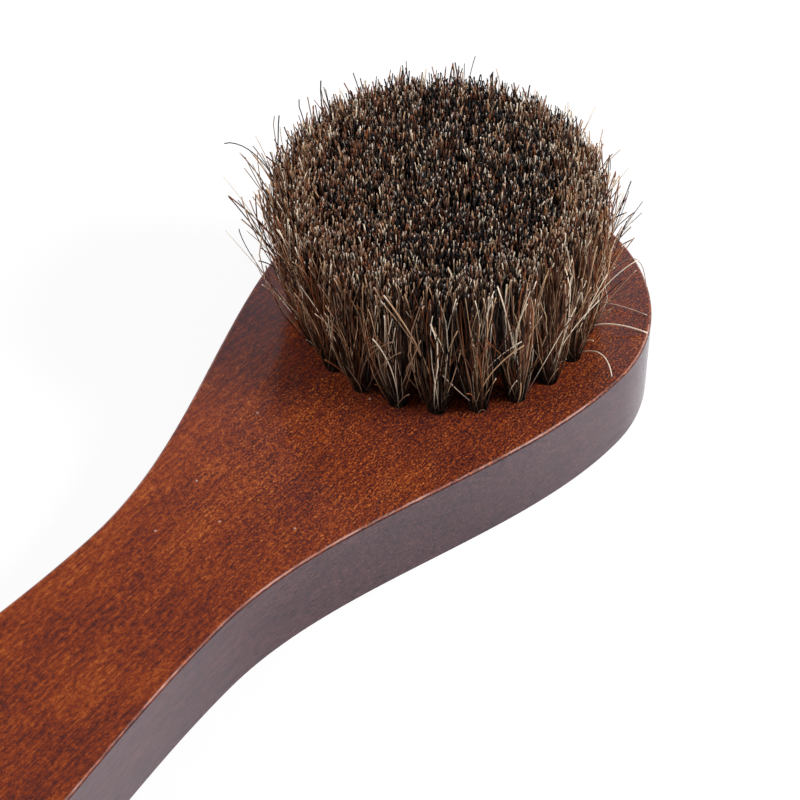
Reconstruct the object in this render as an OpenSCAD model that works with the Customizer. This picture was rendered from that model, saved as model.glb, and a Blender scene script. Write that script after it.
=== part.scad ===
// Round-headed shoe shine brush, lying on its back with the bristles up.
// Millimetres. +X runs from the handle's end to the head, +Y across the board, +Z up along the bristles.
// The origin is the middle of the underside of the whole brush.

/* [Wooden board] */
// Overall length of the board, handle's end to front of the head
total_l = 170; // [160:1:230]
// Thickness of the board
board_t = 13; // [12:0.5:20]
// Width of the head at its widest
head_w = 50; // [44:1:64]
// Front of the head to its widest place
nose_l = 22; // [18:0.5:30]
// Width of the neck at its narrowest
neck_w = 21.4; // [16:0.2:28]
// Widest place of the head back to the narrowest place of the neck
neck_back = 61.5; // [50:0.5:75]
// Width of the handle at its widest
handle_w = 29; // [24:0.5:38]
// Widest place of the head back to the widest place of the handle
handle_back = 116; // [100:1:124]
// Width of the small bevel that breaks every long edge
edge_bevel = 0.5; // [0.3:0.1:1]

/* [Tuft field] */
// Widest place of the head back to the centre of the tuft field
field_back = 4.2; // [2:0.2:7]
// Edge of the head to the centre line of the outer ring of tufts
rim_w = 7; // [6:0.25:9]
// Distance from one ring of tufts to the next
ring_step = 5; // [4.9:0.05:6.3]
// Distance from one tuft to the next along a ring
tuft_pitch = 5.1; // [5:0.1:6.5]
// Diameter of the blind hole that holds a tuft
hole_d = 2.4; // [2.2:0.1:3]
// Depth of the blind hole that holds a tuft
hole_depth = 8.5; // [7:0.5:10]

/* [Horsehair] */
// Height of the trimmed bristles above the board, at the edge of the field
bristle_h = 21; // [14:0.5:30]
// How much higher the middle of the trimmed top stands than its edge
crown_h = 0.8; // [0:0.1:2]
// How far the tops of the outer tufts lean out
flare = 0.6; // [0:0.1:1.2]
// Radius of a tuft's ring of strands where it leaves the hole
root_spread = 0.8; // [0.7:0.05:0.85]
// Radius of a tuft's ring of strands at the trimmed top
tip_spread = 1.9; // [1.6:0.05:1.95]
// Radius of the three-sided strand at its root
root_r = 0.22; // [0.14:0.02:0.24]
// Radius of the three-sided strand along its free length
strand_r = 0.42; // [0.3:0.02:0.42]
// How uneven the trimmed tips are, up or down
trim_h = 0.45; // [0:0.05:1]

/* [Anchor wire] */
// Height of the flat wire that is driven in over the folded hair
wire_h = 1.8; // [1.2:0.1:2.4]
// Thickness of the flat wire
wire_t = 0.4; // [0.3:0.05:0.6]
// How far each end of the wire bites into the wood beside the hole
wire_bite = 0.3; // [0.2:0.05:0.5]
// Depth of folded hair between the wire and the bottom of the hole
fold_h = 1; // [0.6:0.1:1.6]

/* [Hidden] */
// The board's main places along X, from the front back.
nose_x = total_l / 2;
wide_x = nose_x - nose_l;
neck_x = wide_x - neck_back;
handle_x = wide_x - handle_back;
tail_x = -total_l / 2;
field_x = wide_x - field_back;

// Points along each stretch of the outline: nose, head to neck, neck to handle, handle's end.
nose_steps = 14;
flank_steps = 14;
grip_steps = 10;
tail_steps = 12;

// Rings of tufts from the outside in: radius, and how many tufts fit round it.
ring_r = head_w / 2 - rim_w;
ring_count = 1 + floor(ring_r / ring_step);
ring_radii = [for (i = [0:ring_count - 1]) let (r = ring_r - i * ring_step) r > tuft_pitch / 2 ? r : 0];
tufts_in = [for (r = ring_radii) r == 0 ? 1 : round(180 / asin(tuft_pitch / 2 / r))];

hole_floor = board_t - hole_depth;
wire_z = hole_floor + fold_h;
wire_l = hole_d + 2 * wire_bite;

// A tuft's strands stand in two rings: three inside, six outside.
inner_strands = 3;
outer_strands = 6;
inner_share = 0.45;
// How deep the strands run into the hair that fills the hole.
root_in = 0.4;
// The strand bends at this share of its free length, where a tuft has opened to this share of its spread.
bend_at = 0.42;
open_at_bend = 0.8;
lean_at_bend = 0.3;
// How far a strand wanders from its place in the tuft.
wander = 0.07;

function two_digits(n) = str(n < 10 ? "0" : "", n);
function tuft_name(ring, n) = str("tuft_ring", ring + 1, "_", two_digits(n + 1));
function anchors_name(ring) = str("anchors_ring", ring + 1);

// Board outline

// Goes from 0 to 1 with a level start and end.
function ease(t) = t * t * (3 - 2 * t);
function mix(a, b, t) = a + (b - a) * t;

// One side of the outline, from the tip of the nose back to the end of the handle.
function nose_side() = [
    for (i = [0:nose_steps - 1]) let (a = 90 * i / nose_steps)
        [wide_x + nose_l * cos(a), head_w / 2 * sin(a)]
];
function flank_side() = [
    for (i = [0:flank_steps - 1]) let (t = i / flank_steps)
        [mix(wide_x, neck_x, t), mix(head_w, neck_w, ease(t)) / 2]
];
function grip_side() = [
    for (i = [0:grip_steps - 1]) let (t = i / grip_steps)
        [mix(neck_x, handle_x, t), mix(neck_w, handle_w, ease(t)) / 2]
];
function tail_side() = [
    for (i = [0:tail_steps]) let (a = 90 * i / tail_steps)
        [handle_x - (handle_x - tail_x) * sin(a), handle_w / 2 * cos(a)]
];
function one_side() = concat(nose_side(), flank_side(), grip_side(), tail_side());

// The whole outline: one side back to the end of the handle, then its mirror image forward.
function outline() = let (side = one_side(), last = len(side) - 1) concat(
    [for (i = [0:last]) side[i]],
    [for (i = [last - 1:-1:1]) [side[i].x, -side[i].y]]
);

// The same outline drawn in by a distance, or out where the distance is negative.
function inset(points, distance) = let (n = len(points)) [
    for (i = [0:n - 1])
        let (
            back = points[i] - points[(i + n - 1) % n],
            ahead = points[(i + 1) % n] - points[i],
            u = back / norm(back),
            v = ahead / norm(ahead),
            inward = [-u.y - v.y, u.x + v.x]
        )
        points[i] + distance * 2 * inward / (inward * inward)
];

// A ring of triangular section that takes the corner off an edge of the board.
// side is 1 for the upper edge, at height z, and -1 for the lower one.
module bevel_cutter(z, side) {
    over = edge_bevel;
    rim = outline();
    n = len(rim);
    low_in = inset(rim, edge_bevel + over);
    out = inset(rim, -over);
    points = concat(
        [for (p = low_in) [p.x, p.y, z + side * over]],
        [for (p = out) [p.x, p.y, z + side * over]],
        [for (p = out) [p.x, p.y, z - side * (edge_bevel + over)]]
    );
    faces = [
        for (band = [0:2]) for (i = [0:n - 1])
            let (
                a = band * n + i,
                b = band * n + (i + 1) % n,
                c = (band + 1) % 3 * n + (i + 1) % n,
                d = (band + 1) % 3 * n + i
            )
            each side > 0 ? [[a, b, c], [a, c, d]] : [[a, c, b], [a, d, c]]
    ];
    polyhedron(points, faces);
}

// Places of the tufts

// A tuft stands at an angle round the field; each ring starts half a pitch on from the one outside it.
function tuft_angle(ring, n) = 360 * (n + ring / 2) / tufts_in[ring];
function tuft_place(ring, n) = let (a = tuft_angle(ring, n)) [
    field_x + ring_radii[ring] * cos(a),
    ring_radii[ring] * sin(a)
];

module at_tuft(ring, n) {
    translate(tuft_place(ring, n)) children();
}

module at_each_tuft() {
    for (ring = [0:ring_count - 1]) for (n = [0:tufts_in[ring] - 1]) at_tuft(ring, n) children();
}

// The flat wire lies across the board, so that it doesn't split the wood along the grain.
module wire() {
    translate([-wire_t / 2, -wire_l / 2, wire_z]) cube([wire_t, wire_l, wire_h]);
}

// Sub-parts

module wood_board() {
    color([0.43, 0.17, 0.08]) difference() {
        linear_extrude(board_t) polygon(outline());
        bevel_cutter(0, -1);
        bevel_cutter(board_t, 1);
        at_each_tuft() translate([0, 0, hole_floor]) cylinder(d = hole_d, h = hole_depth + 1, $fn = 48);
        at_each_tuft() wire();
    }
}

// A three-sided rod through a list of centres, with its radius at each of them.
module strand(centres, radii, turn) {
    points = [
        for (i = [0:len(centres) - 1]) for (k = [0:2])
            centres[i] + radii[i] * [cos(turn + 120 * k), sin(turn + 120 * k), 0]
    ];
    walls = [
        for (i = [0:len(centres) - 2]) for (k = [0:2])
            let (a = 3 * i + k, b = 3 * i + (k + 1) % 3)
            each [[a, a + 3, b + 3], [a, b + 3, b]]
    ];
    top = len(points) - 3;
    polyhedron(points, concat(walls, [[0, 1, 2], [top + 2, top + 1, top]]));
}

// Where each strand stands in its tuft, as a share of the tuft's spread.
function strand_places(turn) = concat(
    [for (k = [0:inner_strands - 1]) let (a = turn + 360 * k / inner_strands) inner_share * [cos(a), sin(a)]],
    [for (k = [0:outer_strands - 1]) let (a = turn + 30 + 360 * k / outer_strands) [cos(a), sin(a)]]
);

// One tuft: the folded hair that fills the hole, and the strands that stand up from it.
module tuft(ring, n) {
    r = ring_radii[ring];
    a = tuft_angle(ring, n);
    lean = r == 0 ? [0, 0] : flare * r / ring_r * [cos(a), sin(a)];
    seed = 100 * ring + n;
    turn = rands(0, 360, 1, seed + 1)[0];
    places = strand_places(turn);
    bend_spread = mix(root_spread, tip_spread, open_at_bend);
    shade = 0.16 + 0.05 * rands(0, 1, 1, seed + 2)[0];
    color([shade + 0.05, shade, shade - 0.04]) at_tuft(ring, n) {
        difference() {
            translate([0, 0, hole_floor]) cylinder(d = hole_d, h = hole_depth, $fn = 48);
            wire();
        }
        for (i = [0:len(places) - 1]) {
            stray = rands(-1, 1, 4, 1000 + 20 * seed + i);
            aside = wander * [stray[0], stray[1]];
            root = places[i] * root_spread;
            bend = places[i] * bend_spread + lean * lean_at_bend + aside;
            tip = places[i] * tip_spread + lean + aside;
            from_middle = norm(tuft_place(ring, n) + tip - [field_x, 0]) / (ring_r + flare + tip_spread);
            top = bristle_h + crown_h * (1 - from_middle * from_middle) + trim_h * stray[2];
            strand(
                [
                    [root.x, root.y, board_t - root_in],
                    [bend.x, bend.y, board_t + bend_at * bristle_h],
                    [tip.x, tip.y, board_t + top]
                ],
                [root_r, strand_r, strand_r],
                60 * stray[3]
            );
        }
    }
}

// The flat wires of one ring of tufts.
module anchors(ring) {
    color([0.72, 0.72, 0.7]) for (n = [0:tufts_in[ring] - 1]) at_tuft(ring, n) wire();
}

wood_board();
for (ring = [0:ring_count - 1]) for (n = [0:tufts_in[ring] - 1])
    tuft(ring, n);
for (ring = [0:ring_count - 1]) anchors(ring);
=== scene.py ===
# %% [markdown]
# # A horsehair shoe brush, dressed in Blender
# The brush lies on its back: a round-headed beech board, stained like mahogany and lacquered, with 51 tufts
# of mixed horsehair standing up from blind holes in its head. Its measured model comes in as a fixed frame of
# plain solids, and every step below gives one of them the surface, the edges or the hairs of the real thing.
# The frame is in metres, with X along the handle towards the head and Z up along the bristles.

import math

import bmesh
import bpy
import numpy as np
from mathutils.geometry import delaunay_2d_cdt
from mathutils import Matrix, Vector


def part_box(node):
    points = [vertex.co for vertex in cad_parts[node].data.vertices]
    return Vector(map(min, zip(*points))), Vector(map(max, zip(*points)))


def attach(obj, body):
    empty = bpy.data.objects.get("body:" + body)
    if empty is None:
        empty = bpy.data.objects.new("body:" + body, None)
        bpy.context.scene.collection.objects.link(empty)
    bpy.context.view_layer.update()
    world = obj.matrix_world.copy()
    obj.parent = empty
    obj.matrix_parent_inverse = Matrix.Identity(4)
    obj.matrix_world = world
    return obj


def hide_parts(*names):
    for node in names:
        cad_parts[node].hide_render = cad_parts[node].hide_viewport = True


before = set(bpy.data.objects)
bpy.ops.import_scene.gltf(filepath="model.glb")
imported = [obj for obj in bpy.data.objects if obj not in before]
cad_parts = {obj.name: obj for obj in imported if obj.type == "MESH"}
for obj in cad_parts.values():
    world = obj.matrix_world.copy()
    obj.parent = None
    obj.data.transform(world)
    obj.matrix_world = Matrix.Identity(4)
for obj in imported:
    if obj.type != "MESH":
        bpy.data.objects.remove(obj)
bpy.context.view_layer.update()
MM = 0.001

board_low, board_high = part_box("wood_board")
BOARD_T = board_high.z
TUFTS = sorted(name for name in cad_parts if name.startswith("tuft_"))
print("board", [round(side / MM, 1) for side in board_high - board_low], "mm, tufts", len(TUFTS))

# %% [markdown]
# ## The camera
# The photograph looks down on the head at 47 degrees from beside the handle, so the near edge of the board
# shows its full thickness. A long lens from about a third of a metre keeps the ellipse of the bristles nearly
# as the eye expects it. The camera is turned by two angles only, elevation and azimuth, which keeps it level.
# Two arrows on the floor, to the camera's right and towards it, serve later to place lamps and hairs.

# %% Camera
SENSOR = 36.0
LENS = 120.4
CAMERA_PLACE = (-0.13966, -0.14508, 0.25944)
ELEVATION = math.radians(47.08)
AZIMUTH = math.radians(-52.38)

camera_data = bpy.data.cameras.new("camera")
camera_data.sensor_width = SENSOR
camera_data.lens = LENS
camera = bpy.data.objects.new("camera", camera_data)
camera.location = CAMERA_PLACE
camera.rotation_euler = (math.pi / 2 - ELEVATION, 0, AZIMUTH)
bpy.context.scene.collection.objects.link(camera)
bpy.context.scene.camera = camera

TO_RIGHT = np.array([math.cos(AZIMUTH), math.sin(AZIMUTH), 0.0])
TO_CAMERA = np.array([math.sin(AZIMUTH), -math.cos(AZIMUTH), 0.0])
print("camera", round(camera.location.length, 3), "m from the middle of the brush")

# %% [markdown]
# ## Shader maths as sums
# A material is a network of nodes, and a network of plain arithmetic is hard to read as a list of links. This
# small class wraps one output socket, and its operators add the Math nodes, so that a mask can be written as
# `1 - worn * 0.5`. Any other node comes from `node`, which sets the node up before it feeds its sockets.

# %% A socket that can be added and multiplied
class Signal:
    """One output of a shader node, on which arithmetic adds Math nodes."""

    def __init__(self, tree, socket=None):
        self.tree = tree
        self.socket = socket

    def node(self, kind, settings=None, inputs=None, out=0):
        """Adds a node: first its settings, then the values or links of its sockets."""
        made = self.tree.nodes.new(kind)
        for name, value in (settings or {}).items():
            if name == "stops":
                fill_ramp(made.color_ramp, value)
            elif name == "between_stops":
                made.color_ramp.interpolation = value
            else:
                setattr(made, name, value)
        for name, value in (inputs or {}).items():
            feed(self.tree, made.inputs[name], value)
        return Signal(self.tree, made.outputs[out])

    def maths(self, operation, *values):
        """Adds a Math node for values that are signals or plain numbers."""
        return self.node("ShaderNodeMath", {"operation": operation}, dict(enumerate(values)))

    def __add__(self, other):
        return self.maths("ADD", self, other)

    def __radd__(self, other):
        return self.maths("ADD", other, self)

    def __sub__(self, other):
        return self.maths("SUBTRACT", self, other)

    def __rsub__(self, other):
        return self.maths("SUBTRACT", other, self)

    def __mul__(self, other):
        return self.maths("MULTIPLY", self, other)

    def __rmul__(self, other):
        return self.maths("MULTIPLY", other, self)

    def __abs__(self):
        return self.maths("ABSOLUTE", self)

    def fraction(self):
        """What is left when the whole number is taken off."""
        return self.maths("FRACT", self)

    def rise(self, low, high):
        """0 below low, 1 above high and smooth between them; low may be the larger number."""
        ends = {"Value": self, "From Min": low, "From Max": high}
        return self.node("ShaderNodeMapRange", {"interpolation_type": "SMOOTHSTEP"}, ends)

    def axis(self, letter):
        """The X, Y or Z part of a place or a direction."""
        return self.node("ShaderNodeSeparateXYZ", inputs={"Vector": self}, out=letter)

    def stretched(self, sizes):
        """A place measured in grains of these sizes, for a pattern longer one way than another."""
        return self.node("ShaderNodeVectorMath", {"operation": "DIVIDE"}, {0: self, 1: sizes})

    def shading(self, colour):
        """A colour made this many times as bright."""
        return self.node("ShaderNodeVectorMath", {"operation": "SCALE"}, {0: colour, "Scale": self})

    def ramp(self, stops, between_stops="LINEAR"):
        """Colours read off a ramp; with "CONSTANT" between its stops it jumps from one to the next."""
        settings = {"stops": stops, "between_stops": between_stops}
        return self.node("ShaderNodeValToRGB", settings, {"Fac": self})


def feed(tree, socket, value):
    """Links a signal to a socket, or writes a plain value on it."""
    if isinstance(value, Signal):
        tree.links.new(value.socket, socket)
    else:
        socket.default_value = value


def fill_ramp(ramp, stops):
    """Sets a colour ramp to (position, (red, green, blue)) stops."""
    while len(ramp.elements) < len(stops):
        ramp.elements.new(1.0)
    for element, (position, colour) in zip(ramp.elements, stops):
        element.position = position
        element.color = (*colour, 1.0)


def blend(under, over, mask):
    """One colour over another where the mask is 1. Either may be a signal or three numbers."""
    tree = mask.tree
    mix = tree.nodes.new("ShaderNodeMix")
    mix.data_type = "RGBA"
    for socket, colour in ((mix.inputs[6], under), (mix.inputs[7], over)):
        feed(tree, socket, colour if isinstance(colour, Signal) else (*colour, 1.0))
    feed(tree, mix.inputs[0], mask)
    return Signal(tree, mix.outputs[2])


def new_material(name, **constants):
    """A material with one Principled shader, its constant values set on the shader's own sockets."""
    material = bpy.data.materials.new(name)
    material.use_nodes = True
    shader = material.node_tree.nodes["Principled BSDF"]
    for socket, value in constants.items():
        shader.inputs[socket.replace("_", " ")].default_value = value
    return material, shader, Signal(material.node_tree)


print("signals ready")

# %% [markdown]
# ## The world
# The photograph is a bright, nearly shadowless picture on white. A lacquered board also shows what stands
# around it, so the world is a backdrop: white low down, where it lays a grey veil over the far part of the
# board, and dim from 50 degrees up, where the near part looks and keeps its own colour. The camera sees the
# world white, reflections see it faintly blue like daylight, and as a light it is dimmer and even.

# %% World
AMBIENT = 0.28
CEILING = 0.09
BACKDROP_TOP = math.sin(math.radians(43))
CEILING_FROM = math.sin(math.radians(50))
DAYLIGHT = (0.91, 0.89, 1.0)
WHITE = (1.0, 1.0, 1.0)

bpy.context.scene.view_settings.view_transform = "Standard"
world = bpy.data.worlds.new("studio")
world.use_nodes = True
bpy.context.scene.world = world
sky = Signal(world.node_tree)
height = sky.node("ShaderNodeTexCoord", out="Generated").axis("Z")
backdrop = CEILING + (1 - CEILING) * height.rise(CEILING_FROM, BACKDROP_TOP)
is_camera = sky.node("ShaderNodeLightPath", out="Is Camera Ray")
is_glossy = sky.node("ShaderNodeLightPath", out="Is Glossy Ray")
is_through = sky.node("ShaderNodeLightPath", out="Is Transmission Ray")
seen = (is_camera + is_glossy + is_through).rise(0.0, 1.0)
background = world.node_tree.nodes["Background"]
feed(world.node_tree, background.inputs["Strength"], AMBIENT + seen * (backdrop - AMBIENT))
feed(world.node_tree, background.inputs["Color"], blend(DAYLIGHT, WHITE, is_camera))
print("world ready")

# %% [markdown]
# ## The floor
# A sheet of white paper. Lit paper alone would need so much light to look white that the brush would wash
# out, so three quarters of what the camera sees of it is a glow of its own. The last quarter is lit, which
# keeps a faint shadow. The sheet lies a hair's breadth below the brush, because two faces in one plane
# flicker.

# %% Floor
FLOOR_SIDE = 6.0
FLOOR_DROP = 0.02 * MM
PAPER = (0.9, 0.9, 0.91, 1.0)
GLOW = 1.12
GLOW_SHARE = 0.75

bpy.ops.mesh.primitive_plane_add(size=FLOOR_SIDE, location=(0, 0, -FLOOR_DROP))
floor = bpy.context.object
floor.name = "floor"
paper = bpy.data.materials.new("white_paper")
paper.use_nodes = True
paper.node_tree.nodes.clear()
on_paper = Signal(paper.node_tree)
lit = on_paper.node("ShaderNodeBsdfDiffuse", inputs={"Color": PAPER})
glow = on_paper.node("ShaderNodeEmission", inputs={"Color": (*WHITE, 1.0), "Strength": GLOW})
share = GLOW_SHARE * on_paper.node("ShaderNodeLightPath", out="Is Camera Ray")
mixed = on_paper.node("ShaderNodeMixShader", inputs={0: share, 1: lit, 2: glow})
paper_out = paper.node_tree.nodes.new("ShaderNodeOutputMaterial")
feed(paper.node_tree, paper_out.inputs["Surface"], mixed)
floor.data.materials.append(paper)
print("floor ready")

# %% [markdown]
# ## Two soft boxes
# One stands to the camera's right and one to its left, both a little in front of the head and well above it.
# They light the brush evenly and give the hairs their fine highlights.

# %% Lamps
HEAD = np.array([0.055, 0.0, 0.02])


def soft_box(name, right, front, up, side, power):
    """A square lamp that faces the head, this far to its right, in front and above, in metres and watts."""
    place = HEAD + right * TO_RIGHT + front * TO_CAMERA + np.array([0, 0, up])
    away = place - HEAD
    data = bpy.data.lights.new(name, "AREA")
    data.size = side
    data.energy = power
    lamp = bpy.data.objects.new(name, data)
    lamp.location = place
    lamp.rotation_euler = (math.acos(away[2] / np.linalg.norm(away)), 0, math.atan2(away[0], -away[1]))
    bpy.context.scene.collection.objects.link(lamp)
    return lamp


key = soft_box("key", right=0.52, front=0.14, up=0.38, side=0.26, power=4.0)
fill = soft_box("fill", right=-0.50, front=0.16, up=0.40, side=0.30, power=2.2)
print("soft boxes at", [[round(c, 2) for c in lamp.location] for lamp in (key, fill)])

# %% [markdown]
# ## The board's outline
# It is drawn as one side from the tip of the nose back to the end of the handle, then mirrored. The nose and
# the end are quarter ellipses, and the two long stretches between the widest and the narrowest places ease
# from one width to the next, which gives the soft shoulders that a spindle moulder leaves on real boards.

# %% Outline
NOSE_L = 22 * MM
NECK_BACK = 61.5 * MM
HANDLE_BACK = 116 * MM
NECK_HALF = 10.7 * MM
HANDLE_HALF = 14.5 * MM
HEAD_HALF = board_high.y
WIDE_X = board_high.x - NOSE_L
NECK_X = WIDE_X - NECK_BACK
HANDLE_X = WIDE_X - HANDLE_BACK
TAIL_X = board_low.x
STRETCH_STEPS = 48


def eased(start, end, steps):
    """Numbers from start to end, slow at both ends, without the last."""
    t = np.arange(steps) / steps
    return start + (end - start) * t * t * (3 - 2 * t)


def board_outline():
    """The points of the whole outline, counterclockwise, as rows of x and y."""
    quarter = np.arange(STRETCH_STEPS) / STRETCH_STEPS * math.pi / 2
    nose = np.stack([WIDE_X + NOSE_L * np.cos(quarter), HEAD_HALF * np.sin(quarter)], 1)
    flank_x = np.linspace(WIDE_X, NECK_X, STRETCH_STEPS, endpoint=False)
    flank = np.stack([flank_x, eased(HEAD_HALF, NECK_HALF, STRETCH_STEPS)], 1)
    grip_x = np.linspace(NECK_X, HANDLE_X, STRETCH_STEPS, endpoint=False)
    grip = np.stack([grip_x, eased(NECK_HALF, HANDLE_HALF, STRETCH_STEPS)], 1)
    tail_l = HANDLE_X - TAIL_X
    tail = np.stack([HANDLE_X - tail_l * np.sin(quarter), HANDLE_HALF * np.cos(quarter)], 1)
    side = np.concatenate([nose, flank, grip, tail, [[TAIL_X, 0.0]]])
    return np.concatenate([side, side[-2:0:-1] * [1, -1]])


outline = board_outline()
ahead = np.roll(outline, -1, 0) - np.roll(outline, 1, 0)
outward = np.stack([ahead[:, 1], -ahead[:, 0]], 1) / np.linalg.norm(ahead, axis=1)[:, None]
print("outline points", len(outline))

# %% [markdown]
# ## The tufts' places
# The places come from the frame, so the drilled holes and the hairs can't drift apart: what a tuft's solid
# has below the board's face is the round plug of folded hair, and the middle of that plug is the middle of
# the hole. The tufts stand in rings, so their common middle and the outer ring's radius are kept too.

# %% Holes
ROOT_DEPTH = 1 * MM


def plug_of(name):
    """Middle (x, y), radius and floor height of the hole that a tuft fills."""
    co = np.array([v.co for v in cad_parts[name].data.vertices])
    plug = co[co[:, 2] < BOARD_T - ROOT_DEPTH]
    low = plug.min(0)
    high = plug.max(0)
    return (low + high)[:2] / 2, (high - low)[0] / 2, low[2]


plugs = {name: plug_of(name) for name in TUFTS}
HOLE_R = plugs[TUFTS[0]][1]
HOLE_FLOOR = plugs[TUFTS[0]][2]
centres = np.array([plugs[name][0] for name in TUFTS])
FIELD = (centres.min(0) + centres.max(0)) / 2
RING_R = np.linalg.norm(centres - FIELD, axis=1).max()
print("middle of the field", FIELD.round(4))
print("outer ring", round(RING_R / MM, 2), "mm, hole", round(HOLE_R / MM, 2), "mm")

# %% [markdown]
# ## The board's mesh
# A boolean would cut 51 holes, but it leaves long thin faces that shade badly. Here the flat faces are filled
# by a constrained Delaunay triangulation between the outline and the circles, and the rounded edge is a stack
# of rings. The parts are welded at the end, and the count of open edges has to be 0.

# %% Board mesh
EDGE_R = 0.45 * MM
EDGE_ROUNDS = 5
HOLE_SIDES = 32
INSIDE_HOLE = 0.98
FACES_INSIDE_RIM = 1
SAME_PLACE = 1e-9
WELD = 0.001 * MM
SHARP = math.radians(40)


def edge_profile():
    """(distance drawn in, height) from the rim of the underside up to the rim of the top."""
    turn = np.linspace(0, math.pi / 2, EDGE_ROUNDS)
    drawn_in = EDGE_R * (1 - np.sin(turn))
    rise = EDGE_R * (1 - np.cos(turn))
    low = np.stack([drawn_in, rise], 1)
    high = np.stack([drawn_in[::-1], BOARD_T - rise[::-1]], 1)
    return np.concatenate([low, high])


def flat_face(rim, holes):
    """Points and triangles that fill a rim, given as (x, y) points, and leave round holes open."""
    loops = [rim, *holes]
    points = np.concatenate(loops)
    edges = []
    start = 0
    for loop in loops:
        places = range(start, start + len(loop))
        edges += [(k, start + (k - start + 1) % len(loop)) for k in places]
        start += len(loop)
    whole_rim = [list(range(len(rim)))]
    made = delaunay_2d_cdt([tuple(p) for p in points], edges, whole_rim, FACES_INSIDE_RIM, SAME_PLACE)
    flat = np.array([tuple(v) for v in made[0]])
    faces = []
    for face in made[2]:
        middle = flat[face].mean(0)
        if all(np.linalg.norm(middle - hole.mean(0)) > HOLE_R * INSIDE_HOLE for hole in holes):
            faces.append(face)
    return flat, faces


def hole_rim(middle):
    """The circle of a hole's mouth, as rows of x and y."""
    turn = np.arange(HOLE_SIDES) / HOLE_SIDES * 2 * math.pi
    return middle + HOLE_R * np.stack([np.cos(turn), np.sin(turn)], 1)


def ring_walls(first, second):
    """Faces between two rings of vertex numbers of equal length."""
    count = len(first)
    return [(first[k], first[(k + 1) % count], second[(k + 1) % count], second[k]) for k in range(count)]


def board_mesh():
    """The board as separate parts: the stack of rings, the holes and the two flat faces."""
    vertices = []
    faces = []

    def add_ring(points, z):
        start = len(vertices)
        vertices.extend((x, y, z) for x, y in points)
        return list(range(start, len(vertices)))

    rings = [add_ring(outline - outward * inset, z) for inset, z in edge_profile()]
    for below, above in zip(rings, rings[1:]):
        faces.extend(ring_walls(below, above))
    rims = [hole_rim(middle) for middle in centres]
    for rim in rims:
        mouth = add_ring(rim, BOARD_T)
        bottom = add_ring(rim, HOLE_FLOOR)
        faces.extend(ring_walls(mouth, bottom))
        faces.append(tuple(bottom))
    face_rim = outline - outward * EDGE_R
    for holes, z, order in ((rims, BOARD_T, 1), ([], 0.0, -1)):
        flat, triangles = flat_face(face_rim, holes)
        numbers = add_ring(flat, z)
        faces.extend(tuple(numbers[k] for k in triangle[::order]) for triangle in triangles)
    mesh = bpy.data.meshes.new("lacquered_board")
    mesh.from_pydata(vertices, [], faces)
    return mesh


def weld(mesh):
    """Joins vertices that share a place, keeps sharp corners sharp, and counts the open edges left."""
    work = bmesh.new()
    work.from_mesh(mesh)
    bmesh.ops.remove_doubles(work, verts=work.verts, dist=WELD)
    open_edges = sum(1 for edge in work.edges if not edge.is_manifold)
    work.to_mesh(mesh)
    work.free()
    mesh.shade_smooth()
    mesh.set_sharp_from_angle(angle=SHARP)
    return open_edges


board = board_mesh()
print("board faces", len(board.polygons), "open edges", weld(board))

# %% [markdown]
# ## The patterns in the wood
# The board is pale, fine-pored wood under a red-brown stain. The stain soaks in unevenly, so close up the
# surface is a crowd of flecks under a millimetre long, over blots, streaks and soft patches up to the size
# of a fingertip. Each of these is one noise, measured in grains of its own size and longest along X, because
# all of them follow the fibres. A last signal tells how level the surface is: 1 on the faces, 0 on the sides
# and between them only on the rounded edges.

# %% Wood patterns
FLECK = (0.36 * MM, 0.20 * MM, 0.20 * MM)
BLOT = (0.95 * MM, 0.50 * MM, 0.50 * MM)
FIBRE = (4.5 * MM, 0.30 * MM, 0.30 * MM)
PATCH = (9 * MM, 5 * MM, 5 * MM)
CLOUD = (4 * MM, 2.5 * MM, 2.5 * MM)
PORE = (1.5 * MM, 0.10 * MM, 0.10 * MM)
PORE_AMONG = (0.66, 0.74)
NOISE_ROUGHNESS = 0.6


def noise(place, grain, detail=2.0):
    """A noise from 0 to 1 whose grains have the given sizes along x, y and z."""
    grains = {"Vector": place.stretched(grain), "Scale": 1.0, "Detail": detail, "Roughness": NOISE_ROUGHNESS}
    return place.node("ShaderNodeTexNoise", inputs=grains, out="Fac")


def swing(amount, pattern):
    """A pattern turned into an amount to add, as often less than nothing as more."""
    return amount * (pattern - 0.5)


wood, wood_shader, on_wood = new_material(
    "stained_and_lacquered_wood",
    Coat_Weight=1.0,
    Coat_Roughness=0.10,
    Coat_IOR=1.5,
    IOR=1.45,
    Specular_IOR_Level=0.1,
)
place = on_wood.node("ShaderNodeTexCoord", out="Object")
along = place.axis("X")
aside = place.axis("Y")
level = abs(on_wood.node("ShaderNodeTexCoord", out="Normal").axis("Z"))
fleck = noise(place, FLECK)
fibre = noise(place, FIBRE)
blot = noise(place, BLOT, detail=3.0)
patch = noise(place, PATCH, detail=3.0)
cloud = noise(place, CLOUD, detail=1.0)
pore = noise(place, PORE).rise(*PORE_AMONG)
print("wood patterns from", PORE[1] / MM, "to", PATCH[0] / MM, "mm")
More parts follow.
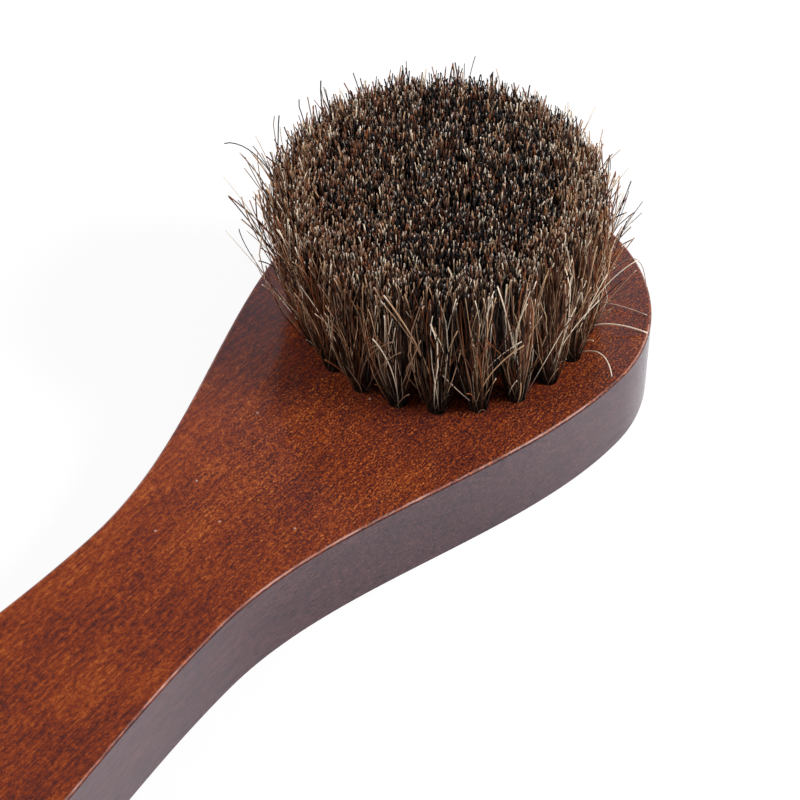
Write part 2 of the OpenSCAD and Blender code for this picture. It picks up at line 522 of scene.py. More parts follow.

# %% [markdown]
# ## The stained top
# The tone says how much of the wood shines through the stain, and a ramp of five mixed stains turns it into
# a colour, from near black in the pores to a warm orange. The real board isn't even from end to end, and
# neither is this one: the flecks stand out on the head, in clouds, and are calmer on its far side and on the
# handle. The top is darker towards the head, and paler on the far shoulder and at the nose.

# %% Top colour
STAIN = [
    (0.00, (0.028, 0.009, 0.010)),
    (0.30, (0.092, 0.019, 0.013)),
    (0.50, (0.212, 0.035, 0.010)),
    (0.70, (0.350, 0.078, 0.016)),
    (1.00, (0.620, 0.210, 0.050)),
]
MEAN_TONE = 0.47
DARKER_HEAD = 0.10
PALER_NOSE = 0.06
PALER_SHOULDER = 0.06
FLECKS_ON_HANDLE = 0.6
MORE_ON_HEAD = 1.7
LESS_FAR = 0.6
PORE_DEPTH = 0.6
# Stretches along and across the board over which its look changes, in metres from its middle.
HEAD_FLECKS = (-10 * MM, 40 * MM)
HEAD_DARKENS = (10 * MM, 45 * MM)
NOSE_PALES = (50 * MM, 62 * MM)
FAR_SIDE = (2 * MM, 14 * MM)
SHOULDER_ASIDE = (-2 * MM, 10 * MM)
SHOULDER_STARTS = (-25 * MM, 0.0)
SHOULDER_ENDS = (37 * MM, 28 * MM)

shoulder = aside.rise(*SHOULDER_ASIDE) * along.rise(*SHOULDER_STARTS) * along.rise(*SHOULDER_ENDS)
mean_tone = MEAN_TONE - DARKER_HEAD * along.rise(*HEAD_DARKENS) + PALER_NOSE * along.rise(*NOSE_PALES)
mean_tone = mean_tone + PALER_SHOULDER * shoulder
coarse = swing(0.5, fibre) + swing(0.9, blot) + swing(0.45, patch)
vivid = (FLECKS_ON_HANDLE + MORE_ON_HEAD * along.rise(*HEAD_FLECKS)) * (0.5 + cloud)
vivid = vivid * (1 - LESS_FAR * aside.rise(*FAR_SIDE))
tone = mean_tone + coarse + vivid * (fleck - 0.5)
colour = tone.ramp(STAIN)
colour = blend(colour, STAIN[0][1], PORE_DEPTH * pore)
print("stains", len(STAIN))

# %% [markdown]
# ## The sides
# A side cuts the fibres at a slant, so it drinks more stain and comes out dark and purplish, with short
# streaks. Towards the handle and at the nose a greyer colour is painted over it, a painted reflection of the
# white floor in the lacquer.

# %% Side colour
SIDE_STAIN = (0.036, 0.019, 0.029)
# The colour of the painted reflection on the sides.
PAINTED_SIDE_SHEEN = (0.110, 0.080, 0.092)
SIDE_TONE = 1.1
SIDE_COVER = 0.85
STEEP = (0.5, 0.1)
SHEEN_ON_HANDLE = 0.8
SHEEN_AT_NOSE = 0.35
HANDLE_SHEEN_SPAN = (13 * MM, -25 * MM)
NOSE_SHEEN_SPAN = (33 * MM, 55 * MM)

side = level.rise(*STEEP)
side_tone = SIDE_TONE + swing(1.5, fibre) + swing(1.4, fleck) + swing(0.8, patch) - 0.9 * pore
# Painted reflection: the side turns greyer towards the handle and at the nose.
painted_sheen = SHEEN_ON_HANDLE * along.rise(*HANDLE_SHEEN_SPAN) + SHEEN_AT_NOSE * along.rise(*NOSE_SHEEN_SPAN)
painted_sheen = painted_sheen * (0.6 + 0.8 * fibre)
side_colour = blend(side_tone.shading(SIDE_STAIN), PAINTED_SIDE_SHEEN, painted_sheen)
colour = blend(colour, side_colour, SIDE_COVER * side)
print("sides stained")

# %% [markdown]
# ## Worn edges with a painted highlight and shade, and lint
# Edges tell most about use. Just below the top runs a thin dark line, a painted shade for the dark room that
# the rounded edge reflects, and just above it the lacquer is rubbed through in places to pale wood, which is
# also a painted highlight. Both follow the lean of the rounded edge, and the patterns of the wood break them
# up.
# The lint is a few pale specks on the head: one may sit in the middle of each cell of a Voronoi pattern, and
# the cell's random colour says whether it does.

# %% Edges and lint
# A painted shade: the dark line under the top edge, for the dark room that the rounded edge reflects.
PAINTED_DARK_EDGE_LINE = (0.010, 0.004, 0.005)
# Pale wood where the lacquer is worn through, also a painted highlight on the rounded edge.
WORN_EDGE_AND_HIGHLIGHT = (0.58, 0.38, 0.33)
LINT = (0.62, 0.45, 0.38)
WEAR_AND_HIGHLIGHT = 0.5
LINT_COVER = 0.7
LINT_APART = 8 * MM
# How level the rounded edge is where the painted dark line and the worn, painted highlight begin and end.
LINE_STARTS = (0.02, 0.10)
LINE_ENDS = (0.45, 0.35)
WEAR_AND_HIGHLIGHT_STARTS = (0.5, 0.7)
WEAR_AND_HIGHLIGHT_ENDS = (0.97, 0.88)
# A speck's size as a share of its cell, which cells have one, and where on the board they lie.
SPECK = (0.026, 0.010)
SPECK_CHANCE = (0.66, 0.70)
FACE = (0.9, 0.99)
HEAD_HALF_OF_BOARD = (-5 * MM, 5 * MM)

# Painted shade: a thin dark line low on the rounded edge.
painted_dark_edge_line = level.rise(*LINE_STARTS) * level.rise(*LINE_ENDS)
colour = blend(colour, PAINTED_DARK_EDGE_LINE, painted_dark_edge_line * (0.2 + 0.8 * fibre))
# Wear and a painted highlight along the rounded edge, broken up by the wood's patterns.
patchy_wear_and_highlight = 0.1 + 0.4 * fibre.rise(0.35, 0.7) + 0.9 * patch.rise(0.42, 0.62)
worn_and_highlight = level.rise(*WEAR_AND_HIGHLIGHT_STARTS) * level.rise(*WEAR_AND_HIGHLIGHT_ENDS) * patchy_wear_and_highlight
colour = blend(colour, WORN_EDGE_AND_HIGHLIGHT, WEAR_AND_HIGHLIGHT * worn_and_highlight)

cells = {"Vector": place.stretched((LINT_APART, LINT_APART, LINT_APART)), "Scale": 1.0}
speck = on_wood.node("ShaderNodeTexVoronoi", {"voronoi_dimensions": "2D"}, cells, out="Distance")
chance = on_wood.node("ShaderNodeTexVoronoi", {"voronoi_dimensions": "2D"}, cells, out="Color")
lint = speck.rise(*SPECK) * chance.rise(*SPECK_CHANCE) * level.rise(*FACE)
lint = lint * along.rise(*HEAD_HALF_OF_BOARD)
colour = blend(colour, LINT, LINT_COVER * lint)
print("lint in cells of", LINT_APART / MM, "mm")

# %% [markdown]
# ## Lacquer
# The lacquer is the shader's coat, smooth and even, over a base that small bumps and a changing roughness
# keep from shining by itself. It is thinner on the rounded edges, where rubbing takes it off, and where the
# open fibres of the sides drink it in. A Weighted Normal modifier keeps the flat faces flat in the light.

# %% Lacquer
BUMP_DEPTH = 0.03 * MM
BUMP_STRENGTH = 0.35
ROUGHNESS = 0.42
THINNER_ON_FACE = 0.15
THINNER_ON_EDGE = 0.8
THINNER_ON_SIDE = 0.3

rounded = level.rise(0.02, 0.12) * level.rise(0.98, 0.9)
open_fibre = 1 - fibre.rise(0.25, 0.5)
coat = 1 - THINNER_ON_FACE * level - THINNER_ON_EDGE * rounded - THINNER_ON_SIDE * side * open_fibre
bumps = {"Strength": BUMP_STRENGTH, "Distance": BUMP_DEPTH, "Height": 0.5 * fleck + 0.5 * fibre - pore}
relief = on_wood.node("ShaderNodeBump", inputs=bumps, out="Normal")
feed(wood.node_tree, wood_shader.inputs["Base Color"], colour)
feed(wood.node_tree, wood_shader.inputs["Roughness"], ROUGHNESS + swing(0.25, fleck) + 0.3 * lint)
feed(wood.node_tree, wood_shader.inputs["Coat Weight"], coat)
feed(wood.node_tree, wood_shader.inputs["Normal"], relief)


def show(name, mesh, material):
    """Puts a mesh in the scene as a piece of the brush, with its finish."""
    piece = bpy.data.objects.new(name, mesh)
    mesh.materials.append(material)
    bpy.context.scene.collection.objects.link(piece)
    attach(piece, "root")
    return piece


lacquered_board = show("lacquered_board", board, wood)
keep_flat = lacquered_board.modifiers.new("flat_faces", "WEIGHTED_NORMAL")
keep_flat.keep_sharp = True
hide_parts("wood_board")
print("board dressed, nodes in its material", len(wood.node_tree.nodes))

# %% [markdown]
# ## The anchor wires
# A short flat wire is driven in across each fold of hair and holds the tuft in its hole. Its solid is already
# right, so it stays and only takes a bright steel with the faint lines of drawing along it.

# %% Wire material
DRAWN_LINE = (0.05 * MM, 3 * MM, 0.05 * MM)
STEEL = [(0.3, (0.30, 0.29, 0.28)), (0.7, (0.56, 0.55, 0.53))]

steel, steel_shader, on_steel = new_material("drawn_steel", Metallic=1.0)
lines = noise(on_steel.node("ShaderNodeTexCoord", out="Object"), DRAWN_LINE)
feed(steel.node_tree, steel_shader.inputs["Base Color"], lines.ramp(STEEL))
feed(steel.node_tree, steel_shader.inputs["Roughness"], 0.25 + 0.3 * lines)

wires = [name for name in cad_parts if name.startswith("anchors_")]
for name in wires:
    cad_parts[name].data.materials.clear()
    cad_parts[name].data.materials.append(steel)
WIRE_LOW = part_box(wires[0])[0].z
WIRE_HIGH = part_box(wires[0])[1].z
print("wires in", len(wires), "groups, from", round(WIRE_LOW / MM, 2), "to", round(WIRE_HIGH / MM, 2), "mm")

# %% [markdown]
# ## Hairs as tubes
# Blender's hair curves would be the quick way, but they don't leave as a mesh. Each hair is instead a thin
# three-sided tube, which is round enough at a sixth of a millimetre. All the hairs of a tuft are worked out
# at once as one array of centre points. The ring round each point is turned as little as possible from the
# last, so a hair never twists. Every hair also gets its own square of the UV map, so its colour can be baked.

# %% Tubes
SIDES = 3
UV_GRID = 14
UV_MARGIN = 0.08
UNUSUAL_WAY = [0.36, 0.93, 0.05]


def across(paths):
    """Two unit vectors square to each path at each of its points, carried along without twist."""
    step = np.gradient(paths, axis=1)
    along = step / np.linalg.norm(step, axis=2, keepdims=True)
    turned = [np.cross(along[:, 0], UNUSUAL_WAY)]
    for k in range(1, paths.shape[1]):
        turned.append(turned[-1] - along[:, k] * (turned[-1] * along[:, k]).sum(1, keepdims=True))
    u = np.stack(turned, 1)
    u /= np.linalg.norm(u, axis=2, keepdims=True)
    return u, np.cross(along, u)


def hair_tubes(paths, radii):
    """Vertices, walls and end caps of closed tubes along paths, an array of (hair, point, xyz)."""
    hairs, points = paths.shape[:2]
    u, v = across(paths)
    turn = np.arange(SIDES) / SIDES * 2 * math.pi
    round_u = np.cos(turn)[None, None, :, None] * u[:, :, None]
    round_v = np.sin(turn)[None, None, :, None] * v[:, :, None]
    rings = paths[:, :, None] + radii[:, :, None, None] * (round_u + round_v)
    number = np.arange(hairs * points * SIDES).reshape(hairs, points, SIDES)
    after = np.roll(number, -1, 2)
    walls = np.stack([number[:, :-1], after[:, :-1], after[:, 1:], number[:, 1:]], 3)
    return rings.reshape(-1, 3), walls.reshape(-1, 4), np.concatenate([number[:, 0, ::-1], number[:, -1]])


def hair_map(hairs, points):
    """UV corners for the walls and the two end caps of each hair, one square of the map to a hair."""
    room = 1 - 2 * UV_MARGIN
    cell = np.stack([np.arange(hairs) % UV_GRID, np.arange(hairs) // UV_GRID], 1)[:, None, None, None]
    side, up = np.meshgrid(np.arange(SIDES), np.arange(points - 1))
    corner = np.array([[0, 0], [1, 0], [1, 1], [0, 1]])
    steps = np.array([SIDES, points - 1])
    walls = UV_MARGIN + room * (np.stack([side, up], 2)[:, :, None] + corner) / steps
    cap = np.array([[0.0, 0.0], [0.5, -0.5 * UV_MARGIN], [1.0, 0.0]]) * [room, 1] + UV_MARGIN
    cap_top = cap * [1, -1] + [0, 1]
    walls = (cell + walls[None]).reshape(-1, 2)
    caps = np.concatenate([(cell[:, 0, 0] + cap).reshape(-1, 2), (cell[:, 0, 0] + cap_top).reshape(-1, 2)])
    return np.concatenate([walls, caps]) / UV_GRID


def hair_mesh(name, paths, radii, lots, free, daylight):
    """A mesh of hairs whose vertices know their hair's colour lot, their place along it and their light."""
    vertices, walls, caps = hair_tubes(paths, radii)
    mesh = bpy.data.meshes.new(name)
    mesh.from_pydata(vertices, [], [*walls.tolist(), *caps.tolist()])
    mesh.shade_smooth()
    per_point = np.broadcast_to(lots[:, None], free.shape)
    for label, values in (("lot", per_point), ("free", free), ("daylight", daylight)):
        layer = mesh.attributes.new(label, "FLOAT", "POINT")
        layer.data.foreach_set("value", np.repeat(values.ravel(), SIDES).astype(np.float32))
    uv = mesh.uv_layers.new(name="OFBake")
    uv.data.foreach_set("uv", hair_map(*paths.shape[:2]).ravel().astype(np.float32))
    return mesh


print("tubes of", SIDES, "sides, up to", UV_GRID ** 2, "hairs to a tuft")

# %% [markdown]
# ## Hairs in a hole
# A brush maker folds a pinch of hair in half, pushes the fold into the hole and drives a wire over it. So
# each hair here is one tube with two ends: down one side of the wire, round under it and up the other side.
# The hairs are thinner in the hole, where they are pressed together, and leave the wire its room.

# %% Places in the hole
HAIRS = 174
HAIR_R = 0.084 * MM
ROOT_SHARE = 0.7
HOLE_GAP = 0.03 * MM
WIRE_HALF = 0.2 * MM
WIRE_GAP = 0.02 * MM
PACKED_R = HOLE_R - ROOT_SHARE * HAIR_R - HOLE_GAP
WIRE_ROOM = WIRE_HALF + ROOT_SHARE * HAIR_R + WIRE_GAP


def half_disc(rng, count):
    """Places in the half of a disc of radius 1 on its +X side, sorted along Y."""
    radius = np.sqrt(rng.random(count))
    angle = (rng.random(count) - 0.5) * math.pi
    order = np.argsort(radius * np.sin(angle))
    return np.stack([radius * np.cos(angle), radius * np.sin(angle)], 1)[order]


def in_hole(shares):
    """Places in the hole for hairs at these shares of a disc, clear of the wire along its middle."""
    beside_wire = np.sign(shares[:, 0]) * WIRE_ROOM + shares[:, 0] * (PACKED_R - WIRE_ROOM)
    return np.stack([beside_wire, shares[:, 1] * PACKED_R], 1)


print("hairs to a tuft", HAIRS, "within", round(PACKED_R / MM, 2), "mm of its middle")

# %% [markdown]
# ## Above the board
# A tuft is as narrow as its hole for a moment, then opens quickly until it meets its neighbours, and the
# whole field is trimmed nearly flat, with a slight crown. A hair's place in the hole decides its place at the
# top, with a little wandering, bowing and curling, so that hairs cross now and then as real ones do. The
# hairs of the outer tufts have nothing to lean on, so they wander more, splay out and end at more uneven
# heights, most of all on the camera's left. The whole field is combed a little towards the far side.

# %% Free length
BRISTLE_H = 21.5 * MM
CROWN = 0.7 * MM
COMBED = np.array([0.1, 1.6]) * MM
STATIONS = np.array([0.0, 0.15, 0.36, 0.58, 0.80, 0.94, 1.0])
# Spread of a tuft's tips, how much wider the innermost tufts open, and how quickly a tuft opens.
TIP_SPREAD = 2.70 * MM
INNER_SPREAD = 0.3
OPENING = 1.3
FLARE = 0.1 * MM
# How far a hair strays from its line: at the tip, in one bend, in two bends and in the last curl.
TIP_WANDER = 0.30 * MM
BOW = 0.42 * MM
KINK = 0.16 * MM
CURL = 0.50 * MM
CURL_BEND = 6
# The outer tufts: where they begin as a share of the field, how much less tidy they are, and how they splay.
OUTER_FROM = 0.9
UNTIDY = 1.3
SPLAY = 0.65 * MM
SPLAY_SHAPE = 0.8
SPLAY_BEND = 2.2
SPLAY_LEFT = 1.6
# Trimming: how uneven it is, how far hairs fall short of it, and which share of them it missed.
TRIM = 0.20 * MM
SHORT = 0.42 * MM
SHORTER_OUTSIDE = 5
MISSED = 0.04
MISSED_BY = (0.4 * MM, 1.3 * MM)


def free_length(rng, centre, share):
    """Points of hairs above the board, as (hair, station, xyz), for hairs at these shares of a tuft."""
    count = len(share)
    places = in_hole(share)
    away = centre - FIELD
    from_field = np.linalg.norm(away)
    outwards = away / max(from_field, SAME_PLACE)
    rank = from_field / RING_R
    edge = np.clip(share @ outwards, 0, 1) * (rank > OUTER_FROM)
    untidy = (1 + UNTIDY * edge)[:, None]
    splayed_side = 1 + SPLAY_LEFT * max(0.0, -outwards @ TO_RIGHT[:2])
    spread = TIP_SPREAD * (1 + INNER_SPREAD * (1 - rank) ** 2)
    tips = share * spread + COMBED + outwards * FLARE * rank ** 2
    tips += untidy * rng.normal(0, TIP_WANDER, (count, 2))
    splay = outwards * (splayed_side * edge * rng.gamma(SPLAY_SHAPE, SPLAY, count))[:, None]
    bow = untidy * rng.normal(0, BOW, (count, 2))
    kink = untidy * rng.normal(0, KINK, (count, 2))
    curl = rng.normal(0, CURL, (count, 2))
    t = STATIONS[None, :, None]
    opening = 1 - (1 - t) ** OPENING
    flat = centre + places[:, None] * (1 - opening) + tips[:, None] * opening
    flat += bow[:, None] * np.sin(math.pi * t) + kink[:, None] * np.sin(2 * math.pi * t)
    flat += curl[:, None] * t ** CURL_BEND + splay[:, None] * t ** SPLAY_BEND
    reach = np.linalg.norm(away + tips + splay - COMBED, axis=1) / (RING_R + TIP_SPREAD)
    height = BRISTLE_H + CROWN * (1 - reach ** 2) + rng.normal(0, TRIM, count)
    height -= rng.exponential(SHORT, count) * (1 + SHORTER_OUTSIDE * edge)
    height += (rng.random(count) < MISSED) * rng.uniform(*MISSED_BY, count)
    z = BOARD_T + height[:, None] * STATIONS
    return np.concatenate([flat, z[:, :, None]], 2)


print("trimmed to", BRISTLE_H / MM, "mm, in", len(STATIONS), "points")

# %% [markdown]
# ## The fold
# Two free lengths and three points round the wire make one hair. The sorted places pair a hair's two ends up
# at about the same distance along the wire, so that the folds lie side by side and don't tangle.

# %% Folded hairs
# How far along its free length each point of a folded hair is: 1 at the tips and 0 in the hole.
FREE = np.concatenate([STATIONS[::-1], [0, 0, 0], STATIONS])


def folded_hairs(rng, centre):
    """Paths of one tuft's folded hairs: tip, down, under the wire, and up to the other tip."""
    sides = (half_disc(rng, HAIRS) * [-1, 1], half_disc(rng, HAIRS))
    arms = [free_length(rng, centre, share) for share in sides]
    beside_wire = np.full(HAIRS, (WIRE_LOW + WIRE_HIGH) / 2)
    beside = [np.column_stack([centre + in_hole(share), beside_wire]) for share in sides]
    depth = HOLE_FLOOR + HAIR_R + rng.random(HAIRS) * (WIRE_LOW - HOLE_FLOOR - 2 * HAIR_R)
    fold = np.column_stack([np.full(HAIRS, centre[0]), (beside[0] + beside[1])[:, 1] / 2, depth])
    middle = np.stack([beside[0], fold, beside[1]], 1)
    return np.concatenate([arms[0][:, ::-1], middle, arms[1]], 1)


print("points to a folded hair", len(FREE))

# %% [markdown]
# ## Daylight among the hairs
# Light gets only a little way in between the hairs. The depth of each point below the trimmed top, or behind
# the outer wall of the brush, goes with it as a number, and the material darkens the hair by that. It gives
# the tufts their dark gaps also where a render takes few bounces of light.

# %% Daylight
LIGHT_DEPTH = 2.1 * MM


def daylight_on(paths):
    """How much light reaches each point of the hairs: 1 on the outside of the field, 0 deep inside it."""
    from_board = paths[:, :, 2] - BOARD_T
    share_up = np.clip(from_board / BRISTLE_H, 0, 1)
    flat = paths[:, :, :2] - FIELD - COMBED * share_up[:, :, None]
    below_top = BRISTLE_H + CROWN - from_board
    behind_wall = RING_R + PACKED_R + (TIP_SPREAD - PACKED_R) * share_up - np.linalg.norm(flat, axis=2)
    return np.exp(-np.clip(np.minimum(below_top, behind_wall), 0, None) / LIGHT_DEPTH)


print("light reaches", LIGHT_DEPTH / MM, "mm in")

# %% [markdown]
# ## Hairs that go their own way
# Some hairs of each tuft splay across their neighbours, and in the outer tufts a few have broken off short
# and point outwards. Each is a bent line that starts in one direction and ends in another. How far they lean
# out from the field is drawn from a range, and they lean along the ring as often one way as the other.

# %% Wayward hairs
SPLAYED = {
    "count": 15,
    "start": ((0.0, 0.20), 0.14),
    "end": ((0.0, 0.60), 0.42),
    "length": (17 * MM, 21.8 * MM),
}
BROKEN = {
    "count": 3,
    "start": ((0.1, 0.5), 0.3),
    "end": ((0.2, 1.3), 0.9),
    "length": (4 * MM, 11 * MM),
}
HELD_IN = 0.35


def leaning(rng, outwards, count, lean, reach):
    """Unit directions that lean out from the field and along the ring, by random amounts."""
    out_range, along_spread = lean
    out = rng.uniform(*out_range, count) * reach
    along = rng.normal(0, along_spread, count) * reach
    sideways = np.array([-outwards[1], outwards[0]])
    flat = np.outer(out, outwards) + np.outer(along, sideways)
    direction = np.column_stack([flat, np.ones(count)])
    return direction / np.linalg.norm(direction, axis=1)[:, None]


def bent_hairs(rng, centre, outwards, kind, reach):
    """Paths of single hairs from a hole, which turn evenly from one direction to another."""
    count = kind["count"]
    start = leaning(rng, outwards, count, kind["start"], reach)
    end = leaning(rng, outwards, count, kind["end"], reach)
    length = rng.uniform(*kind["length"], count)
    shares = half_disc(rng, count)
    shares[::2, 0] *= -1
    root = np.column_stack([centre + in_hole(shares), np.full(count, BOARD_T - ROOT_DEPTH)])
    t = np.linspace(0, 1, len(FREE))[None, :, None]
    return root[:, None] + length[:, None, None] * (start[:, None] * t + (end - start)[:, None] * t * t / 2)


def wayward_hairs(rng, centre):
    """The splayed hairs of one tuft, and its broken ones if it is an outer tuft."""
    away = centre - FIELD
    outwards = away / max(np.linalg.norm(away), SAME_PLACE)
    if np.linalg.norm(away) / RING_R <= OUTER_FROM:
        return bent_hairs(rng, centre, outwards, SPLAYED, HELD_IN)
    return np.concatenate([bent_hairs(rng, centre, outwards, kind, 1.0) for kind in (SPLAYED, BROKEN)])


print("wayward hairs to an outer tuft", SPLAYED["count"] + BROKEN["count"])

# %% [markdown]
# ## Strays
# A few long hairs break the outline of the brush, and the eye knows them one by one, so they are placed where
# the photograph has them: a fan at the left, pale ones that cross the front, and loose arcs that reach over
# the board at the right. Each is a smooth curve from its hole, pulled towards a bend, to its end.

# %% Strays
DARK = 0.20
TAN = 0.90
PALE = 0.98
# Angle of the tuft round the field, then where the hair bends and where it ends, in millimetres to the right,
# to the front and up from the mouth of its hole, as the camera sees them, then its radius and its colour lot.
STRAYS = [
    (115, (-4.1, -2.0, 24.0), (-10.9, -2.3, 22.7), 0.09, DARK),
    (115, (-2.5, -2.0, 12.0), (-6.9, -4.0, 22.4), 0.05, TAN),
    (131, (-3.5, 0.0, 10.5), (-8.4, 0.0, 19.8), 0.06, DARK),
    (131, (-3.5, 0.0, 12.0), (-10.2, -1.5, 22.5), 0.05, PALE),
    (131, (-2.0, 0.0, 8.0), (-7.5, 0.5, 15.0), 0.07, PALE),
    (147, (-4.0, 0.0, 8.0), (-10.8, 0.0, 19.4), 0.05, PALE),
    (147, (-8.6, 0.0, 15.0), (-9.1, 0.0, 19.6), 0.07, DARK),
    (147, (-2.0, 1.0, 7.0), (-6.5, 2.0, 12.0), 0.08, TAN),
    (180, (-0.4, 1.8, 9.5), (-5.6, 2.4, 15.5), 0.08, TAN),
    (196, (1.2, 1.2, 3.0), (2.0, 1.6, 10.0), 0.07, TAN),
    (213, (-0.6, 2.2, 11.0), (-6.6, 2.4, 22.3), 0.13, TAN),
    (213, (-0.2, 2.0, 10.0), (-7.0, 2.0, 21.0), 0.08, TAN),
    (213, (1.4, 1.6, 3.5), (2.7, 2.0, 12.5), 0.08, TAN),
    (229, (-2.0, 1.6, 3.5), (-4.6, 1.8, 7.6), 0.10, PALE),
    (229, (1.0, 1.4, 4.0), (2.0, 1.8, 7.0), 0.08, TAN),
    (245, (0.1, 2.2, 10.0), (-3.0, 2.6, 22.0), 0.11, PALE),
    (262, (-0.8, 2.2, 6.0), (-4.8, 2.8, 12.5), 0.08, TAN),
    (278, (-1.0, 2.2, 11.0), (-8.3, 2.8, 14.5), 0.09, PALE),
    (278, (1.0, 2.0, 13.8), (7.2, 1.5, 18.5), 0.08, PALE),
    (278, (4.2, 1.0, 4.0), (4.9, 4.0, 0.3), 0.10, PALE),
    (-65, (2.6, 0.0, 2.2), (8.1, 1.0, 0.3), 0.15, PALE),
    (-65, (2.8, 0.0, 5.5), (6.0, 0.0, 10.6), 0.05, TAN),
    (-49, (3.5, 1.0, 1.0), (7.8, 2.8, 0.2), 0.07, PALE),
    (-49, (3.2, 0.0, 15.6), (3.6, 0.0, 6.7), 0.07, TAN),
    (-49, (6.5, 0.0, 14.0), (7.5, 1.5, 4.0), 0.06, TAN),
    (-33, (4.0, 0.0, 5.6), (7.9, 0.0, 11.0), 0.05, DARK),
    (-33, (4.2, 0.0, 3.0), (6.0, 0.0, 14.8), 0.05, DARK),
    (-33, (2.5, 0.0, 3.5), (5.1, 0.0, 1.7), 0.07, PALE),
    (-33, (1.5, 0.0, 12.0), (5.9, 0.0, 19.0), 0.05, PALE),
    (33, (0.0, -3.5, 16.0), (2.0, -5.4, 22.6), 0.06, DARK),
]
WAY = np.linspace(0, 1, len(FREE))[:, None]


def nearest_tuft(angle):
    """The outer tuft that stands at an angle round the field."""
    turn = math.radians(angle)
    target = FIELD + RING_R * np.array([math.cos(turn), math.sin(turn)])
    return TUFTS[int(np.linalg.norm(centres - target, axis=1).argmin())]


def stray_path(centre, bend, end):
    """A hair that leaves its hole towards the bend and ends at the end."""
    axes = np.array([TO_RIGHT, TO_CAMERA, [0, 0, 1]]) * MM
    root = np.array([*centre, BOARD_T])
    return root * (1 - WAY) ** 2 + (root + bend @ axes) * 2 * WAY * (1 - WAY) + (root + end @ axes) * WAY ** 2


strays = {name: [] for name in TUFTS}
for angle, bend, end, radius, lot in STRAYS:
    host = nearest_tuft(angle)
    path = stray_path(plugs[host][0], np.array(bend), np.array(end))
    strays[host].append((path, radius * MM, lot))
print("strays", len(STRAYS), "from", sum(1 for held in strays.values() if held), "tufts")

# %% [markdown]
# ## Mixed horsehair
# Mane and tail hair is sold mixed: mostly black and dark brown, with rust, grey and blond among it. A random
# number given to each hair, its lot, picks the colour from a ramp of hard steps, so a hair has one colour
# along its length. A painted shade darkens the hair towards the board and wherever daylight doesn't reach.
# Some cut ends get a painted glint, as bright points on the trimmed top.

# %% Horsehair material
HAIR_LOTS = [
    (0.00, (0.003, 0.002, 0.002)),
    (0.46, (0.024, 0.010, 0.006)),
    (0.60, (0.110, 0.038, 0.017)),
    (0.71, (0.255, 0.083, 0.030)),
    (0.78, (0.285, 0.165, 0.100)),
    (0.86, (0.580, 0.360, 0.205)),
    (0.94, (0.920, 0.770, 0.580)),
]
SHADE = HAIR_LOTS[0][1]
# A painted glint on the cut ends.
CUT_END_GLINT = (0.95, 0.86, 0.76)
# Painted shade, towards the board and deep among the hairs.
PAINTED_ROOT_SHADE = 0.9
PAINTED_INSIDE_SHADE = 0.75
CUT_GLINT = 0.55
# The last stretch of the free length is the cut end, and the fraction of this many lots is a second random
# number for the same hair, which says whether its end gets a painted glint. The darkest hair gets it least.
CUT_STRETCH = (0.975, 0.995)
RESHUFFLE = 61
PALE_AMONG = (0.84, 0.92)
NOT_DARKEST = (0.15, 0.5)


def stored(here, label):
    """A number that the mesh keeps for each of its vertices."""
    return here.node("ShaderNodeAttribute", {"attribute_name": label}, out="Fac")


horsehair, hair_shader, on_hair = new_material(
    "mixed_horsehair", Roughness=0.40, IOR=1.5, Specular_IOR_Level=0.15
)
hair_lot = stored(on_hair, "lot")
hair_free = stored(on_hair, "free")
hair_light = stored(on_hair, "daylight")
hair_colour = hair_lot.ramp(HAIR_LOTS, "CONSTANT")
# Painted shade towards the board and wherever daylight doesn't reach.
hair_colour = blend(hair_colour, SHADE, PAINTED_ROOT_SHADE * hair_free.rise(0.5, 0.0))
hair_colour = blend(hair_colour, SHADE, PAINTED_INSIDE_SHADE * (1 - hair_light))
# Painted glint: a pale cut end where daylight reaches it.
lit_cut_end = hair_free.rise(*CUT_STRETCH) * hair_light
shuffled = (RESHUFFLE * hair_lot).fraction()
painted_cut_glint = CUT_GLINT * lit_cut_end * shuffled.rise(*PALE_AMONG) * hair_lot.rise(*NOT_DARKEST)
feed(horsehair.node_tree, hair_shader.inputs["Base Color"], blend(hair_colour, CUT_END_GLINT, painted_cut_glint))
print("hair colours", len(HAIR_LOTS))

# %% [markdown]
# ## Plant the tufts
# Outer tufts are given paler hair than the inner ones, a painted light: their hairs show their whole length
# to the light, most of all at the camera's right, least at the back, and with warmer browns at its left.
# Raising a random lot to a power below 1 gives more of the pale lots. Each tuft has its own seed, so a change
# in one leaves the others alone, and all points are kept within a small margin of the measured box.

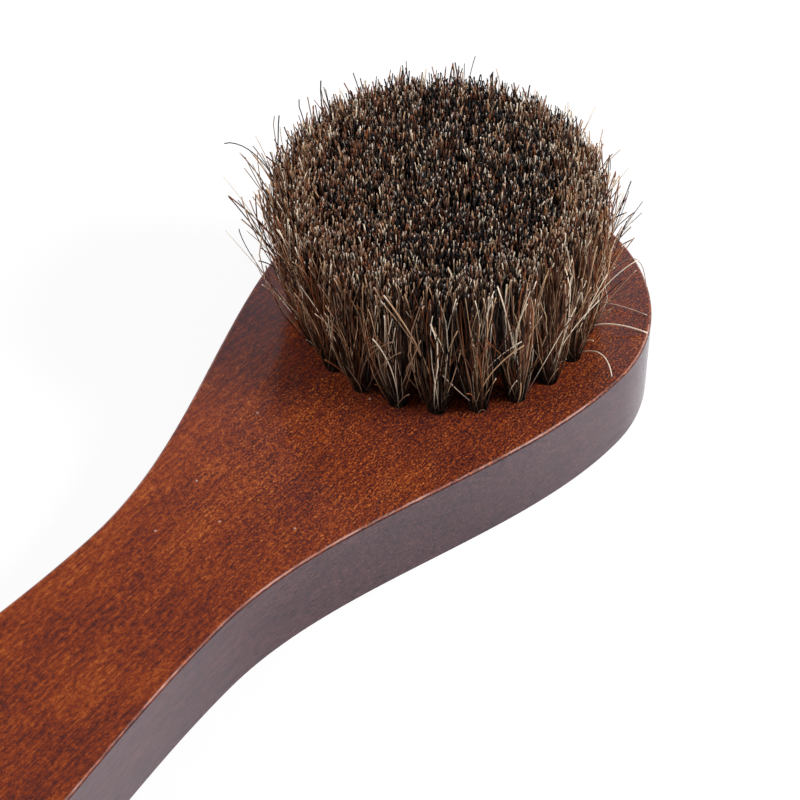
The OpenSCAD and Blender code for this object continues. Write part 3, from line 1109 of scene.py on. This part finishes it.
# %% Planting
FIRST_SEED = 500
MARGIN_ABOVE = 1.5 * MM
MARGIN_BESIDE = 1.2 * MM
HIGHEST = board_high.z + BRISTLE_H + MARGIN_ABOVE
WIDEST = HEAD_HALF + MARGIN_BESIDE
THICKNESS = (0.65, 1.25)
PALER_BACK = 0.85
PALER_FRONT = 0.15
PALER_RIGHT = 0.55
PALER_LEFT = 0.56
WARMER_LEFT = 0.45
WARM_LOTS = (0.62, 0.92)


def colour_lots(rng, count, name):
    """The colour lots of one tuft's hairs."""
    away = plugs[name][0] - FIELD
    to_right = (away @ TO_RIGHT[:2]) / RING_R
    to_front = (away @ TO_CAMERA[:2]) / RING_R
    # Painted light: more pale lots in the outer tufts, most where the lamps light them broadside.
    power = PALER_BACK - PALER_FRONT * max(0.0, to_front)
    power -= PALER_RIGHT * max(0.0, to_right) + PALER_LEFT * max(0.0, -to_right)
    lots = rng.random(count) ** (power if "ring1" in name else 1.0)
    warmed = rng.random(count) < WARMER_LEFT * max(0.0, -to_right)
    return np.where(warmed, rng.uniform(*WARM_LOTS, count), lots)


hair_ends = 0
for number, name in enumerate(TUFTS):
    rng = np.random.default_rng(FIRST_SEED + number)
    centre = plugs[name][0]
    folded = folded_hairs(rng, centre)
    single = [path for path, radius, lot in strays[name]]
    loose = np.concatenate([wayward_hairs(rng, centre), np.reshape(single, (-1, len(FREE), 3))])
    paths = np.concatenate([folded, loose])
    paths[:, :, 2] = np.minimum(paths[:, :, 2], HIGHEST)
    paths[:, :, 1] = np.clip(paths[:, :, 1], -WIDEST, WIDEST)
    radii = HAIR_R * rng.uniform(*THICKNESS, len(paths))[:, None] * np.ones(len(FREE))
    free = np.concatenate([np.tile(FREE, (len(folded), 1)), np.tile(WAY.T, (len(loose), 1))])
    lots = colour_lots(rng, len(paths), name)
    for k, (path, radius, lot) in enumerate(strays[name], len(paths) - len(single)):
        radii[k] = radius
        lots[k] = lot
        free[k] = np.sqrt(free[k])
    radii *= ROOT_SHARE + (1 - ROOT_SHARE) * free
    mesh = hair_mesh(name.replace("tuft", "hair"), paths, radii, lots, free, daylight_on(paths))
    piece = show(mesh.name, mesh, horsehair)
    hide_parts(name)
    hair_ends += 2 * len(folded) + len(loose)
print("hair ends", hair_ends)
